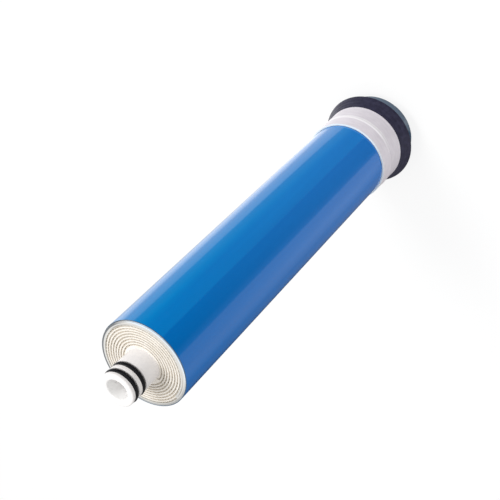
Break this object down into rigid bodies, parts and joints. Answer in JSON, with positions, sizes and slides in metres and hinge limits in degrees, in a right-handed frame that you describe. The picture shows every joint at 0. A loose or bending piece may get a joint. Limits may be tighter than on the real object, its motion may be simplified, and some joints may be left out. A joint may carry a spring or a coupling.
{
  "type": "ro membrane element",
  "caption": "Spiral-wound reverse osmosis membrane element: blue film round a wound roll on a product tube, with O-rings on the tube's stub and a flared rubber brine seal at the other end.",
  "frame": {"origin": "middle of the roll's feed end, on which the part stands", "axes": "+Z along the product tube, towards the product end with its O-rings; the tube's drain holes open towards +X"},
  "size_m": [0.0536, 0.0536, 0.254],
  "materials": {
    "tube_plastic": "smooth white injection moulded plastic",
    "ring_rubber": "smooth black rubber",
    "membrane": "cut edges of cream membrane and carrier cloth",
    "spacer_net": "net of thin strands, in shade between the turns",
    "white_wrap": "satin white tape",
    "blue_film": "glossy blue film",
    "seal_rubber": "satin black rubber",
    "white_tape": "satin white tape"
  },
  "bodies": {
    "root": {"permeate_tube": "tube_plastic", "o_ring_front": "ring_rubber", "o_ring_rear": "ring_rubber", "membrane_leaf": "membrane", "feed_spacer": "spacer_net", "inner_wrap": "white_wrap", "outer_wrap": "blue_film", "brine_seal": "seal_rubber", "seal_collar": "white_tape"}
  },
  "joints": []
}
